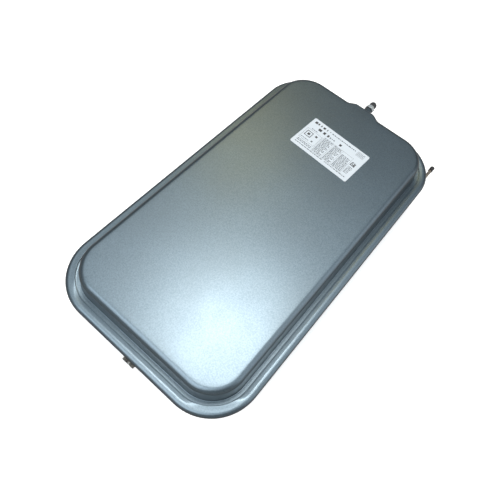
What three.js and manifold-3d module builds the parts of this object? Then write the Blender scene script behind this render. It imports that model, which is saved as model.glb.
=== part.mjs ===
// Flat rectangular expansion vessel for a wall-hung boiler, in millimetres, +Z up.
// It lies on its back: the water-side shell is below, the gas-side shell with the data label is on
// top, and the air valve is at the +Y end. The origin is the centre of the flat back face.
import * as THREE from 'three';
import { mergeVertices } from 'three/addons/utils/BufferGeometryUtils.js';
import Module from 'manifold-3d';

const wasm = await Module();
wasm.setup();

// Plan of the rim, and heights above the back face
const WIDTH = 250;
const LENGTH = 450;
const RIM_RADIUS = 57;
const SEAM_Z = 56;
const GAS_DOME = 29;
const WATER_DOME = 56;

// Pressed shells: sheet, wall and crest of the water side, measured in from the rim's outline
const SHEET = 1.5;
const WALL_INSET = 17;
const CREST_RADIUS = 25;
const FACE_INSET = WALL_INSET + CREST_RADIUS + 1;
const FOOT_FILLET = 2;
const GAP = 0.3;

// Folded hem: its upright side meets a top that slopes down inwards, to the lip's cut edge. The
// gas-side flange is nested under it on the same slope, and runs on as a shallow groove to the wall.
const HEM_CORNER = 9.3;
const HEM_SLOPE = THREE.MathUtils.degToRad(12);
const HEM_ROLL = 5.5;
const HEM_DOWN = 5;
const HEM_STRAIGHT = 0.1;
const LIP_WIDTH = 10.8;
const FLANGE_EDGE = SHEET + GAP;
const FLANGE_ROLL = HEM_ROLL - FLANGE_EDGE;

// Gas-side wall, drafted inwards from its foot to the crest
const GAS_WALL_FOOT = 16;
const GAS_WALL_TOP = 19.8;
const GAS_FOOT_FILLET = 0.8;
const GAS_CREST = 7.2;
const GAS_FACE_INSET = 28;

// Flat pad pressed into the end wall for the air valve
const PAD_INSET = 14;
const PAD_CREST = 4;
const PAD_HALF = 12;
const PAD_FLANK = 14;
const PAD_FOOT_FILLET = 0.2;

// Membrane
const MEMBRANE = 1.8;
const BEAD_INNER = 12;
const BEAD_CHAMFER = 1;
const BEAD_SHOULDER = 1.4;
const BEAD_HEIGHT = 6.8;
const FIELD_EDGE = FACE_INSET - 1;

// Air valve, axis +Y
const VALVE_Z = SEAM_Z + 14;
const PAD_Y = LENGTH / 2 - PAD_INSET;
const BOSS_RADIUS = 5.5;
const BOSS_START = PAD_Y - 3.5;
const BOSS_END = 225.7;
const GASKET_END = 227.2;
const HEX_START = 227.5;
const HEX_END = 233;
const HEX_CORNER_RADIUS = 6.35;
const SHANK_RADIUS = 3.85;
const SHANK_START = 212;
const STEM_END = 239.6;
const CORE_BORE = 2.65;
const CORE_BORE_START = 224;
const AIR_BORE = 2;
const CAP_RADIUS = 5;
const CAP_BORE = 4.15;
const CAP_END = 242.2;
const SEAL_RADIUS = 3.8;
const SEAL_START = 240;
const SEAL_END = 240.8;

// Water connection, axis -Y: a G3/8 male thread
const NIPPLE_Z = SEAM_Z - 26;
const THREAD_RADIUS = 8.33;
const NIPPLE_BORE = 5.5;
const NIPPLE_END = -227;
const COLLAR_RADIUS = 11;
const COLLAR_LENGTH = 3;
const KEY_SLOT = 3;
const WALL_Y = -(LENGTH / 2 - WALL_INSET);

// Hanger rods along the long sides
const ROD_RADIUS = 2.2;
const ROD_Z = NIPPLE_Z;
const ROD_WELDED_Y = [60, 90, 118];
const ROD_BEND = [114, 150];
const ROD_STRAIGHT_Y = [182, 210];
const ROD_TIP_X = 117.5;
const ROD_TIP_Y = 244.8;
const SLEEVE_RADIUS = 3.1;
const SLEEVE_LENGTH = 8;
const SLEEVE_ROOF = 1;
const SLEEVE_CHAMFER = 0.6;

// Data label on the gas-side face
const LABEL_WIDTH = 89;
const LABEL_HEIGHT = 54;
const LABEL_CENTRE = [4.7, 118.2];
const LABEL_TURN = THREE.MathUtils.degToRad(-2.6);
const LABEL_CORNER = 2;
const LABEL_THICKNESS = 0.3;
const LABEL_LIFT = 0.2;

// How finely round shapes are divided
const CORNER_STEPS = 7;
const ARC_STEPS = 4;
const CREST_STEPS = 6;
const PAD_STEPS = 4;
const ROUND = 24;
const HOLE_SIDES = 32;
const DRILL_REACH = 6;

const vessel = new THREE.Group();

const paint = () => new THREE.MeshStandardMaterial({ color: 0x8796a0, roughness: 0.4, metalness: 0.6 });
const steel = () => new THREE.MeshStandardMaterial({ color: 0x9a9c9c, roughness: 0.4, metalness: 0.9 });
const brass = () => new THREE.MeshStandardMaterial({ color: 0xb59a5a, roughness: 0.35, metalness: 0.9 });
const rubber = () => new THREE.MeshStandardMaterial({ color: 0x1c1c1d, roughness: 0.8, metalness: 0 });
const plastic = () => new THREE.MeshStandardMaterial({ color: 0x26292b, roughness: 0.5, metalness: 0 });
const paper = () => new THREE.MeshStandardMaterial({ color: 0xe8eef2, roughness: 0.6, metalness: 0 });

function addPart(name, geometry, material) {
  const mesh = new THREE.Mesh(outward(geometry), material);
  mesh.name = name;
  vessel.add(mesh);
  return mesh;
}

// ---- Geometry helpers ----

// Returns the geometry indexed, with shared vertices and every face pointing out.
function outward(geometry) {
  const bare = geometry.clone();
  bare.deleteAttribute('normal');
  bare.deleteAttribute('uv');
  const merged = mergeVertices(bare, 1e-5);
  const position = merged.attributes.position;
  const index = [...merged.index.array];
  const [a, b, c] = [new THREE.Vector3(), new THREE.Vector3(), new THREE.Vector3()];
  const faces = [];
  let volume = 0;
  for (let i = 0; i < index.length; i += 3) {
    const face = index.slice(i, i + 3);
    if (new Set(face).size === 3) {
      a.fromBufferAttribute(position, face[0]);
      b.fromBufferAttribute(position, face[1]);
      c.fromBufferAttribute(position, face[2]);
      volume += a.dot(b.cross(c));
      faces.push(face);
    }
  }
  if (volume < 0) {
    faces.forEach((face) => face.reverse());
  }
  merged.setIndex(faces.flat());
  merged.computeVertexNormals();
  return merged;
}

function toSolid(geometry) {
  const closed = outward(geometry);
  const vertProperties = new Float32Array(closed.attributes.position.array);
  const triVerts = new Uint32Array(closed.index.array);
  return new wasm.Manifold(new wasm.Mesh({ numProp: 3, vertProperties, triVerts }));
}

function fromSolid(solid) {
  const mesh = solid.getMesh();
  const geometry = new THREE.BufferGeometry();
  geometry.setAttribute('position', new THREE.BufferAttribute(new Float32Array(mesh.vertProperties), 3));
  geometry.setIndex(new THREE.BufferAttribute(new Uint32Array(mesh.triVerts), 1));
  return geometry;
}

// A cylinder along Y between two stations, on a vertical level z.
function rodAlongY(radius, start, end, z, sides = ROUND) {
  const geometry = new THREE.CylinderGeometry(radius, radius, end - start, sides);
  return geometry.translate(0, (start + end) / 2, z);
}

// A turned part about Y: outline pairs of radius and station, level z.
function turnedAlongY(outline, z, x = 0) {
  const points = outline.map(([radius, y]) => new THREE.Vector2(radius, y));
  return new THREE.LatheGeometry(points, ROUND).translate(x, 0, z);
}

// A turned ring: the outline closes on itself.
function ringAlongY(inner, outer, start, end, z) {
  return turnedAlongY([[inner, start], [outer, start], [outer, end], [inner, end], [inner, start]], z);
}

// ---- Profiles: corners of [inset from the rim's outline, height over the seam, rounding radius] ----

// The same corners moved sideways by a distance, to the left of the direction of travel.
function offsetCorners(corners, distance) {
  const normals = [];
  for (let i = 0; i + 1 < corners.length; i += 1) {
    const run = new THREE.Vector2(corners[i + 1][0] - corners[i][0], corners[i + 1][1] - corners[i][1]);
    run.normalize();
    normals.push(new THREE.Vector2(-run.y, run.x));
  }
  return corners.map(([inset, z, radius], i) => {
    const before = normals[Math.max(i - 1, 0)];
    const after = normals[Math.min(i, normals.length - 1)];
    const move = before.clone().add(after).multiplyScalar(distance / (1 + before.dot(after)));
    const side = Math.sign(before.cross(after));
    return [inset + move.x, z + move.y, radius > 0 ? radius - side * distance : 0];
  });
}

// Points along the corners, each inner corner rounded by an arc of its radius.
function roundedProfile(corners) {
  const at = corners.map(([inset, z]) => new THREE.Vector2(inset, z));
  const points = [at[0]];
  for (let i = 1; i + 1 < at.length; i += 1) {
    const into = at[i].clone().sub(at[i - 1]).normalize();
    const out = at[i + 1].clone().sub(at[i]).normalize();
    const turn = Math.atan2(into.cross(out), into.dot(out));
    const radius = corners[i][2];
    const start = at[i].clone().addScaledVector(into, -radius * Math.tan(Math.abs(turn) / 2));
    const toCentre = new THREE.Vector2(-into.y, into.x).multiplyScalar(Math.sign(turn) * radius);
    const centre = start.clone().add(toCentre);
    const steps = radius > CREST_RADIUS / 2 ? CREST_STEPS : ARC_STEPS;
    for (let k = 0; k <= steps; k += 1) {
      points.push(start.clone().rotateAround(centre, (turn * k) / steps));
    }
  }
  points.push(at[at.length - 1]);
  return points;
}

// ---- Sweeping a profile round the rim ----

// Stations round the rim: a point of the line that every corner arc is centred on, the direction
// out, and how much of the valve pad's profile applies there.
function rimStations(withPad) {
  const cornerX = WIDTH / 2 - RIM_RADIUS;
  const cornerY = LENGTH / 2 - RIM_RADIUS;
  const centres = [[cornerX, cornerY], [-cornerX, cornerY], [-cornerX, -cornerY], [cornerX, -cornerY]];
  const stations = [];
  centres.forEach(([x, y], quarter) => {
    for (let k = 0; k <= CORNER_STEPS; k += 1) {
      const angle = (quarter + k / CORNER_STEPS) * (Math.PI / 2);
      stations.push({ x, y, out: [Math.cos(angle), Math.sin(angle)], pad: 0 });
    }
    if (quarter === 0 && withPad) {
      stations.push(...padStations(cornerY));
    }
  });
  return stations;
}

function padStations(y) {
  const flank = [];
  for (let k = 0; k <= PAD_STEPS; k += 1) {
    flank.push({ x: PAD_HALF + PAD_FLANK * (1 - k / PAD_STEPS), y, out: [0, 1], pad: smooth(k / PAD_STEPS) });
  }
  const mirrored = flank.map((station) => ({ ...station, x: -station.x })).reverse();
  return [...flank, ...mirrored];
}

function smooth(t) {
  return t * t * (3 - 2 * t);
}

// Sweeps a closed loop of profile points round the rim. With lid rows, the loop is left open between
// those two rows, and each of them closes over the middle as a flat face.
function sweepRound(profile, padProfile = null, lidRows = null) {
  const stations = rimStations(padProfile !== null);
  const rows = profile.length;
  const vertices = [];
  stations.forEach(({ x, y, out, pad }) => {
    profile.forEach((point, row) => {
      const place = pad > 0 ? point.clone().lerp(padProfile[row], pad) : point;
      const reach = RIM_RADIUS - place.x;
      vertices.push(x + out[0] * reach, y + out[1] * reach, SEAM_Z + place.y);
    });
  });
  const faces = [];
  const lids = lidRows ?? [];
  stations.forEach((_, k) => {
    const here = k * rows;
    const next = ((k + 1) % stations.length) * rows;
    for (let row = 0; row < rows; row += 1) {
      const after = (row + 1) % rows;
      if (!(row === lids[0] && after === lids[1])) {
        faces.push(here + row, next + row, next + after, here + row, next + after, here + after);
      }
    }
    lids.forEach((row, side) => {
      const middle = stations.length * rows + side;
      const edge = side === 0 ? [here + row, next + row] : [next + row, here + row];
      faces.push(...edge, middle);
    });
  });
  lids.forEach((row) => vertices.push(0, 0, SEAM_Z + profile[row].y));
  const geometry = new THREE.BufferGeometry();
  geometry.setAttribute('position', new THREE.Float32BufferAttribute(vertices, 3));
  geometry.setIndex(faces);
  return geometry;
}

// A pressed shell: the outer profile runs from the rim to the flat face, and the sheet lies on the
// side of it that distance says.
function pressedShell(corners, distance, padCorners = null) {
  const skins = (set) => [...roundedProfile(set), ...roundedProfile(offsetCorners(set, distance)).reverse()];
  const profile = skins(corners);
  const lidRows = [profile.length / 2 - 1, profile.length / 2];
  return sweepRound(profile, padCorners && skins(padCorners), lidRows);
}

// ---- Shells ----

// The height over the seam of the hem's sloping top, or of a surface at a depth under it.
function slopeZ(inset, depth = 0) {
  return HEM_CORNER - depth / Math.cos(HEM_SLOPE) - inset * Math.tan(HEM_SLOPE);
}

function gasShellCorners(wallFoot, wallTop, footFillet, crestRadius) {
  return [
    [FLANGE_EDGE, 0, 0],
    [FLANGE_EDGE, slopeZ(FLANGE_EDGE, FLANGE_EDGE), FLANGE_ROLL],
    [wallFoot, slopeZ(wallFoot, FLANGE_EDGE), footFillet],
    [wallTop, GAS_DOME, crestRadius],
    [GAS_FACE_INSET, GAS_DOME, 0],
  ];
}

function gasSideShell() {
  const wall = gasShellCorners(GAS_WALL_FOOT, GAS_WALL_TOP, GAS_FOOT_FILLET, GAS_CREST);
  const pad = gasShellCorners(PAD_INSET, PAD_INSET, PAD_FOOT_FILLET, PAD_CREST);
  const pressed = toSolid(pressedShell(wall, -SHEET, pad));
  return fromSolid(pressed.subtract(drill(BOSS_RADIUS + GAP, PAD_Y, VALVE_Z)));
}

// A cutter along Y for a round hole in an end wall.
function drill(radius, y, z) {
  return toSolid(rodAlongY(radius, y - DRILL_REACH, y + DRILL_REACH, z, HOLE_SIDES));
}

function waterSideShell() {
  const corners = [
    [LIP_WIDTH, slopeZ(LIP_WIDTH), 0],
    [0, HEM_CORNER, HEM_ROLL],
    [0, -HEM_DOWN, HEM_DOWN - HEM_STRAIGHT],
    [WALL_INSET, -HEM_DOWN, FOOT_FILLET],
    [WALL_INSET, -WATER_DOME, CREST_RADIUS],
    [FACE_INSET, -WATER_DOME, 0],
  ];
  const pressed = toSolid(pressedShell(corners, SHEET));
  return fromSolid(pressed.subtract(drill(THREAD_RADIUS + GAP, WALL_Y, NIPPLE_Z)));
}

addPart('gas_side_shell', gasSideShell(), paint());
addPart('water_side_shell', waterSideShell(), paint());

// ---- Membrane: clamped bead, rolling wall, and the flat field that travels ----

const WEB_Z = -HEM_DOWN + SHEET + GAP;
const LINER = SHEET + GAP;
const FIELD_Z = -WATER_DOME + LINER;

function membraneBead() {
  const foot = FLANGE_EDGE + SHEET + 2 * GAP;
  const roll = new THREE.Vector2(HEM_ROLL, slopeZ(HEM_ROLL, HEM_ROLL));
  const radius = FLANGE_ROLL - SHEET - GAP;
  const loop = [
    new THREE.Vector2(BEAD_INNER, WEB_Z + MEMBRANE),
    new THREE.Vector2(BEAD_INNER, WEB_Z),
    new THREE.Vector2(foot + BEAD_CHAMFER, WEB_Z),
    new THREE.Vector2(foot, WEB_Z + BEAD_CHAMFER),
  ];
  for (let k = 0; k <= ARC_STEPS; k += 1) {
    const angle = Math.PI - (k / ARC_STEPS) * (Math.PI / 2);
    loop.push(new THREE.Vector2(Math.cos(angle), Math.sin(angle)).multiplyScalar(radius).add(roll));
  }
  loop.push(new THREE.Vector2(HEM_ROLL + BEAD_SHOULDER, WEB_Z + BEAD_HEIGHT));
  return sweepRound(loop);
}

function membraneWall() {
  const outer = [
    [BEAD_INNER + GAP, WEB_Z, 0],
    [WALL_INSET + LINER, WEB_Z, FOOT_FILLET + LINER],
    [WALL_INSET + LINER, FIELD_Z, CREST_RADIUS - LINER],
    [FIELD_EDGE, FIELD_Z, 0],
  ];
  const inner = offsetCorners(outer, MEMBRANE);
  return sweepRound([...roundedProfile(outer), ...roundedProfile(inner).reverse()]);
}

function membraneField() {
  const low = new THREE.Vector2(FIELD_EDGE + GAP, FIELD_Z);
  const high = new THREE.Vector2(FIELD_EDGE + GAP, FIELD_Z + MEMBRANE);
  return sweepRound([low, high], null, [1, 0]);
}

addPart('membrane_bead', membraneBead(), rubber());
addPart('membrane_wall', membraneWall(), rubber());
addPart('membrane_field', membraneField(), rubber());

// ---- Water connection ----

function waterNipple() {
  const spigotEnd = WALL_Y + SHEET - 0.1;
  const collarBack = WALL_Y - GAP;
  const chamfer = 1;
  const body = turnedAlongY([
    [NIPPLE_BORE, NIPPLE_END],
    [THREAD_RADIUS - chamfer, NIPPLE_END],
    [THREAD_RADIUS, NIPPLE_END + chamfer],
    [THREAD_RADIUS, collarBack - COLLAR_LENGTH],
    [COLLAR_RADIUS, collarBack - COLLAR_LENGTH],
    [COLLAR_RADIUS, collarBack],
    [THREAD_RADIUS, collarBack],
    [THREAD_RADIUS, spigotEnd],
    [NIPPLE_BORE, spigotEnd],
    [NIPPLE_BORE, NIPPLE_END],
  ], NIPPLE_Z);
  const slot = new THREE.BoxGeometry(KEY_SLOT, 2 * KEY_SLOT, 4 * THREAD_RADIUS);
  slot.translate(0, NIPPLE_END, NIPPLE_Z);
  return fromSolid(toSolid(body).subtract(toSolid(slot)));
}

addPart('water_nipple', waterNipple(), steel());

// ---- Air valve ----

function valveStem() {
  const shank = toSolid(rodAlongY(SHANK_RADIUS, SHANK_START, STEM_END, VALVE_Z));
  const hexagon = toSolid(rodAlongY(HEX_CORNER_RADIUS, HEX_START, HEX_END, VALVE_Z, 6)
    .translate(0, 0, -VALVE_Z).rotateY(Math.PI / 2).translate(0, 0, VALVE_Z));
  const coreBore = toSolid(rodAlongY(CORE_BORE, CORE_BORE_START, STEM_END + 1, VALVE_Z));
  const airBore = toSolid(rodAlongY(AIR_BORE, SHANK_START - 1, CORE_BORE_START + 1, VALVE_Z));
  return fromSolid(shank.add(hexagon).subtract(coreBore).subtract(airBore));
}

function valveCap() {
  const roof = 1.2;
  const chamfer = 0.8;
  return turnedAlongY([
    [0, CAP_END],
    [CAP_RADIUS - chamfer, CAP_END],
    [CAP_RADIUS, CAP_END - chamfer],
    [CAP_RADIUS, HEX_END + GAP],
    [CAP_BORE, HEX_END + GAP],
    [CAP_BORE, CAP_END - roof],
    [0, CAP_END - roof],
  ], VALVE_Z);
}

function capSeal() {
  const outline = [[0, SEAL_START], [SEAL_RADIUS, SEAL_START], [SEAL_RADIUS, SEAL_END], [0, SEAL_END]];
  return turnedAlongY(outline, VALVE_Z);
}

const valveRing = (inner, outer, start, end) => ringAlongY(inner, outer, start, end, VALVE_Z);

addPart('valve_boss', valveRing(SHANK_RADIUS + GAP, BOSS_RADIUS, BOSS_START, BOSS_END), paint());
addPart('valve_gasket', valveRing(SHANK_RADIUS + GAP, BOSS_RADIUS, BOSS_END + GAP, GASKET_END), rubber());
addPart('valve_stem', valveStem(), steel());
addPart('valve_cap', valveCap(), plastic());
addPart('cap_seal', capSeal(), rubber());

// ---- Valve core, from its threaded head down to the plunger ----

// Rings of [inner radius, outer radius, start, end]
const CORE_SCREW = [0.9, 2.4, 234, 238.9];
const CORE_GASKET = [2.05, 2.5, 228.6, 231.4];
const CORE_WASHER = [0.8, 1.6, 225, 225.4];
const CORE_PLUNGER = [0.8, 1.7, 222.4, 224.8];

const BARREL_RADIUS = 1.9;
const BARREL_HEAD_RADIUS = 2.35;
const BARREL_CAVITY = 1.35;
const BARREL_WALL = 1;
const BARREL_START = 225.6;
const BARREL_NECK = 231.7;
const BARREL_END = 233.8;

const PIN_RADIUS = 0.5;
const PIN_HOLE = 0.8;
const PIN_START = 222;
const PIN_END = 238.6;
const PIN_COLLAR_RADIUS = 1.1;
const PIN_COLLAR_START = 231.5;
const PIN_COLLAR_END = 232.1;

const SPRING_TURNS = 4;
const SPRING_RADIUS = 0.92;
const SPRING_WIRE = 0.16;
const SPRING_START = 226.9;
const SPRING_END = 231.1;
const SPRING_STEPS = 32;

function coreBarrel() {
  return turnedAlongY([
    [PIN_HOLE, BARREL_START],
    [BARREL_RADIUS, BARREL_START],
    [BARREL_RADIUS, BARREL_NECK],
    [BARREL_HEAD_RADIUS, BARREL_NECK],
    [BARREL_HEAD_RADIUS, BARREL_END],
    [PIN_HOLE, BARREL_END],
    [PIN_HOLE, BARREL_END - BARREL_WALL],
    [BARREL_CAVITY, BARREL_END - BARREL_WALL],
    [BARREL_CAVITY, BARREL_START + BARREL_WALL],
    [PIN_HOLE, BARREL_START + BARREL_WALL],
    [PIN_HOLE, BARREL_START],
  ], VALVE_Z);
}

function corePin() {
  return turnedAlongY([
    [0, PIN_START],
    [PIN_RADIUS, PIN_START],
    [PIN_RADIUS, PIN_COLLAR_START],
    [PIN_COLLAR_RADIUS, PIN_COLLAR_START],
    [PIN_COLLAR_RADIUS, PIN_COLLAR_END],
    [PIN_RADIUS, PIN_COLLAR_END],
    [PIN_RADIUS, PIN_END],
    [0, PIN_END],
  ], VALVE_Z);
}

class SpringCurve extends THREE.Curve {
  getPoint(t, target = new THREE.Vector3()) {
    const angle = t * SPRING_TURNS * 2 * Math.PI;
    const y = THREE.MathUtils.lerp(SPRING_START, SPRING_END, t);
    return target.set(SPRING_RADIUS * Math.cos(angle), y, VALVE_Z + SPRING_RADIUS * Math.sin(angle));
  }
}

function coreSpring() {
  const wire = new THREE.Shape().absarc(0, 0, SPRING_WIRE, 0, 2 * Math.PI);
  return new THREE.ExtrudeGeometry(wire, {
    steps: SPRING_STEPS, curveSegments: 3, bevelEnabled: false, extrudePath: new SpringCurve(),
  });
}

addPart('core_screw', valveRing(...CORE_SCREW), brass());
addPart('core_barrel', coreBarrel(), brass());
addPart('core_gasket', valveRing(...CORE_GASKET), rubber());
addPart('core_pin', corePin(), brass());
addPart('core_spring', coreSpring(), steel());
addPart('core_washer', valveRing(...CORE_WASHER), rubber());
addPart('core_plunger', valveRing(...CORE_PLUNGER), brass());

// ---- Hanger rods, welded to the long side walls and reaching past the valve end ----

function hangerRod(side) {
  const weldX = WIDTH / 2 - WALL_INSET + GAP + ROD_RADIUS;
  const welded = ROD_WELDED_Y.map((y) => [weldX, y]);
  const straight = [...ROD_STRAIGHT_Y, ROD_TIP_Y].map((y) => [ROD_TIP_X, y]);
  const points = [...welded, ROD_BEND, ...straight].map(([x, y]) => new THREE.Vector3(side * x, y, ROD_Z));
  const section = new THREE.Shape().absarc(0, 0, ROD_RADIUS, 0, 2 * Math.PI);
  return new THREE.ExtrudeGeometry(section, {
    steps: 14, curveSegments: 5, bevelEnabled: false, extrudePath: new THREE.CatmullRomCurve3(points),
  });
}

function hangerSleeve(side) {
  const end = ROD_TIP_Y + GAP + SLEEVE_ROOF;
  return turnedAlongY([
    [0, end],
    [SLEEVE_RADIUS - SLEEVE_CHAMFER, end],
    [SLEEVE_RADIUS, end - SLEEVE_CHAMFER],
    [SLEEVE_RADIUS, end - SLEEVE_LENGTH],
    [ROD_RADIUS + GAP, end - SLEEVE_LENGTH],
    [ROD_RADIUS + GAP, end - SLEEVE_ROOF],
    [0, end - SLEEVE_ROOF],
  ], ROD_Z, side * ROD_TIP_X);
}

for (const [hand, side] of [['left', -1], ['right', 1]]) {
  addPart(`hanger_rod_${hand}`, hangerRod(side), steel());
  addPart(`hanger_sleeve_${hand}`, hangerSleeve(side), rubber());
}

// ---- Data label ----

function dataLabel() {
  const radius = LABEL_CORNER;
  const [x, y] = [LABEL_WIDTH / 2 - radius, LABEL_HEIGHT / 2 - radius];
  const sheet = new THREE.Shape();
  sheet.absarc(x, y, radius, 0, Math.PI / 2);
  sheet.absarc(-x, y, radius, Math.PI / 2, Math.PI);
  sheet.absarc(-x, -y, radius, Math.PI, 1.5 * Math.PI);
  sheet.absarc(x, -y, radius, 1.5 * Math.PI, 2 * Math.PI);
  return new THREE.ExtrudeGeometry(sheet, { depth: LABEL_THICKNESS, curveSegments: 4, bevelEnabled: false });
}

const label = addPart('data_label', dataLabel(), paper());
label.position.set(...LABEL_CENTRE, SEAM_Z + GAS_DOME + LABEL_LIFT);
label.rotation.z = LABEL_TURN;

export default vessel;
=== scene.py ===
"""Looks of the flat expansion vessel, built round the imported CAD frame.

Shapes are worked out in millimetres in the CAD's frame and made in metres: the origin is the centre
of the flat back face, +Z points to the label face and +Y to the air valve.
"""

import math
import random

import bmesh
import bpy
from mathutils import Matrix, Vector, noise


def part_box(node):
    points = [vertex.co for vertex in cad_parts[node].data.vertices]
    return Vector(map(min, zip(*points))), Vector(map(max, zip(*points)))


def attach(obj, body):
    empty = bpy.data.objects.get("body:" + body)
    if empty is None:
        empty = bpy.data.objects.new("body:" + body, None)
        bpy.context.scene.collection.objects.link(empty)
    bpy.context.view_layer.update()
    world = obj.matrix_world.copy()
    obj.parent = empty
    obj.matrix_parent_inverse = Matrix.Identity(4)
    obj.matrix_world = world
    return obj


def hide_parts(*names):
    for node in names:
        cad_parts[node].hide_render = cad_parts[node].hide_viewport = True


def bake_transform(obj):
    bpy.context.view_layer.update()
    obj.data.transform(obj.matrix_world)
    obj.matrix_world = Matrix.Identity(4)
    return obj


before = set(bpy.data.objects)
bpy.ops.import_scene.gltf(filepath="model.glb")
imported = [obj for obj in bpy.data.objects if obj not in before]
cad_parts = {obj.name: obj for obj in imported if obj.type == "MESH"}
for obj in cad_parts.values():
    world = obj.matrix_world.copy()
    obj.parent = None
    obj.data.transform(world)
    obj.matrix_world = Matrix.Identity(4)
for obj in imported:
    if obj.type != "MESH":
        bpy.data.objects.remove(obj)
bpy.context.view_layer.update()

MM = 0.001
ALONG_Y = Vector((0, 1, 0))


def box_mm(node):
    """The lowest and highest corners of a CAD node, in millimetres."""
    low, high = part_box(node)
    return low / MM, high / MM


def middle(node):
    """The centre of a CAD node's box, in millimetres."""
    low, high = box_mm(node)
    return (low + high) / 2


# ---- Driving dimensions, in millimetres ----

GAS_LOW, GAS_HIGH = box_mm("gas_side_shell")
WATER_LOW, WATER_HIGH = box_mm("water_side_shell")
HALF_WIDTH, HALF_LENGTH = WATER_HIGH.x, WATER_HIGH.y
SEAM_Z = GAS_LOW.z
GAS_DOME = GAS_HIGH.z - SEAM_Z
WATER_DOME = SEAM_Z - WATER_LOW.z

# Both shells
RIM_RADIUS = 57
SHEET = 1.5
GAP = 0.3
CUT_EDGE = 0.45

# The water shell's wall and back face
WALL_INSET = 17
WALL_Y = HALF_LENGTH - WALL_INSET
FOOT_FILLET = 2
CREST_RADIUS = 25
FACE_MARGIN = 1
FACE_INSET = WALL_INSET + CREST_RADIUS + FACE_MARGIN

# The folded hem
HEM_UP = 8
HEM_DOWN = 5
HEM_STRAIGHT = 0.1
HEM_ROLL = 4.8
HEM_BEND = 6.6
HEM_BEND_RADIUS = 5
HEM_SLOPE = math.radians(15)
HEM_SLOPE_FLAT = math.radians(-2)
LIP_WIDTH = 10.8

# Where the rim lies flatter, as parts of the way out from its corners' centres
FLAT_LEFT_START, FLAT_LEFT_BLEND = -0.2, 0.5
FLAT_CORNER_START, FLAT_CORNER_BLEND = 0.8, 0.15

# The gas shell's flange, wall and face
FLANGE_EDGE = SHEET + GAP
FLANGE_BEND = 11.6
FLANGE_BEND_RADIUS = 4
FLANGE_SLOPE = math.radians(11)
FLANGE_SLOPE_FLAT = math.radians(3)
GAS_WALL_FOOT = 16
GAS_WALL_TOP = 19.2
GAS_FOOT_FILLET = 0.8
GAS_CREST = 7.2
GAS_FACE_INSET = 28
FACE_SAG = 0.2
FACE_SAG_REACH = 0.25
FACE_WAVE = 62

# The flat pad in the gas shell's end wall, for the air valve
PAD_INSET = 14
PAD_CREST = 4
PAD_HALF = 12
PAD_FLANK = 14
PAD_FOOT_FILLET = 0.3
PAD_Y = HALF_LENGTH - PAD_INSET

# The membrane and the bead round it
MEMBRANE = 1.8
BEAD_INNER = 12
BEAD_CHAMFER = 1
BEAD_TOP = HEM_UP - 3.8
BEAD_TOP_FILLET = 1.5
BEAD_SHOULDER = 1.4
BEAD_SHOULDER_FILLET = 0.6
BEAD_HEIGHT = 6.8

# How finely shapes are divided
CORNER_STEPS = 24
LONG_STEPS = 32
SHORT_STEPS = 8
FLANK_STEPS = 14
PAD_APPROACH_STEPS = 4
FACE_ROWS = 14
FACE_CROWDING = 1.3
ARC_DEGREES = 9
TURN_STEPS = 8
SMALL_SIDES = 72
LARGE_SIDES = 120

# Edges that turn by more degrees than these stay sharp in the shading
SHARP = 40
SHARP_THREAD = 32
SHARP_SCREW = 35
SHARP_LABEL = 30

MERGE_DISTANCE = 1e-7
LARGE_FACE_WEIGHT = 50


# ---- Mesh helpers ----

def make_piece(name, points, faces, look, body, replaces=(), weighted=False):
    """A smooth-shaded mesh from points in millimetres, riding on a body.

    A look is a material and the slot that it fills, if any; the slot is not used.
    """
    material, slot = look
    mesh = bpy.data.meshes.new(name)
    mesh.from_pydata([Vector(p) * MM for p in points], [], faces)
    clean = bmesh.new()
    clean.from_mesh(mesh)
    bmesh.ops.remove_doubles(clean, verts=clean.verts, dist=MERGE_DISTANCE)
    bmesh.ops.recalc_face_normals(clean, faces=clean.faces)
    clean.to_mesh(mesh)
    clean.free()
    mesh.polygons.foreach_set("use_smooth", [True] * len(mesh.polygons))
    piece = bpy.data.objects.new(name, mesh)
    bpy.context.scene.collection.objects.link(piece)
    mesh.materials.append(material)
    if weighted:
        piece.modifiers.new("weighted", "WEIGHTED_NORMAL").weight = LARGE_FACE_WEIGHT
    if body is not None:
        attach(piece, body)
    if replaces:
        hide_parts(*replaces)
    return piece


def grid_faces(rows, columns, wrap_rows):
    """Quads over rings of points, each ring closed on itself; the rings may close on each other."""
    faces = []
    for row in range(rows if wrap_rows else rows - 1):
        here, there = row * columns, ((row + 1) % rows) * columns
        for k in range(columns):
            after = (k + 1) % columns
            faces.append((here + k, here + after, there + after, there + k))
    return faces


def capped(faces, point_count, columns):
    """The faces, with a flat cap on the first ring and on the last."""
    return [*faces, tuple(range(columns)), tuple(range(point_count - columns, point_count))]


def crease(piece, degrees=SHARP):
    """Splits the shading of a piece along edges that turn by more than an angle."""
    mesh = piece.data
    limit = math.radians(degrees)
    marked = bmesh.new()
    marked.from_mesh(mesh)
    for edge in marked.edges:
        if len(edge.link_faces) == 2 and edge.calc_face_angle(0) > limit:
            edge.smooth = False
    marked.to_mesh(mesh)
    marked.free()


# ---- Profiles: corners of (inset from the rim, height over the seam, rounding radius) ----

def moved_sideways(corners, distance):
    """The same corners, moved to the left of the direction of travel."""
    points = [Vector(c[:2]) for c in corners]
    runs = [(b - a).normalized() for a, b in zip(points, points[1:])]
    normals = [Vector((-r.y, r.x)) for r in runs]
    moved = []
    for i, (inset, z, radius) in enumerate(corners):
        before, after = normals[max(i - 1, 0)], normals[min(i, len(normals) - 1)]
        move = (before + after) * (distance / (1 + before.dot(after)))
        side = math.copysign(1, before.x * after.y - before.y * after.x)
        moved.append((inset + move.x, z + move.y, radius - side * distance if radius > 0 else 0))
    return moved


def turn_at(before, here, after):
    """The signed angle by which a line turns at a point."""
    into, out = (here - before).normalized(), (after - here).normalized()
    return math.atan2(into.x * out.y - into.y * out.x, into.dot(out))


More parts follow.
